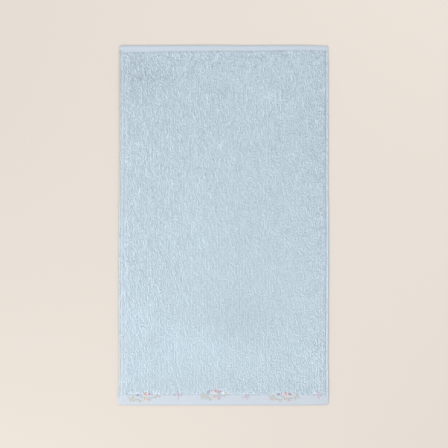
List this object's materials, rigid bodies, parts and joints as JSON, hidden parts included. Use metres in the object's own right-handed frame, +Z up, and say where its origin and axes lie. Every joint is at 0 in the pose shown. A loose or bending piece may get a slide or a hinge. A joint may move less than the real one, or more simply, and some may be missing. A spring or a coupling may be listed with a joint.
{
  "type": "hand towel",
  "caption": "Flat terry hand towel with smooth hemmed ends and a small embroidered flower border.",
  "frame": {"origin": "under the middle of the towel, on the surface that it lies on", "axes": "+X across the towel to the right, +Y along it away from the flowered hem, +Z up out of the front of the cloth"},
  "size_m": [0.5046, 0.8578, 0.0068],
  "materials": {
    "terry_cotton": "matt looped cotton pile, pale blue"
  },
  "bodies": {
    "root": {"towel_cloth": "terry_cotton"}
  },
  "joints": []
}
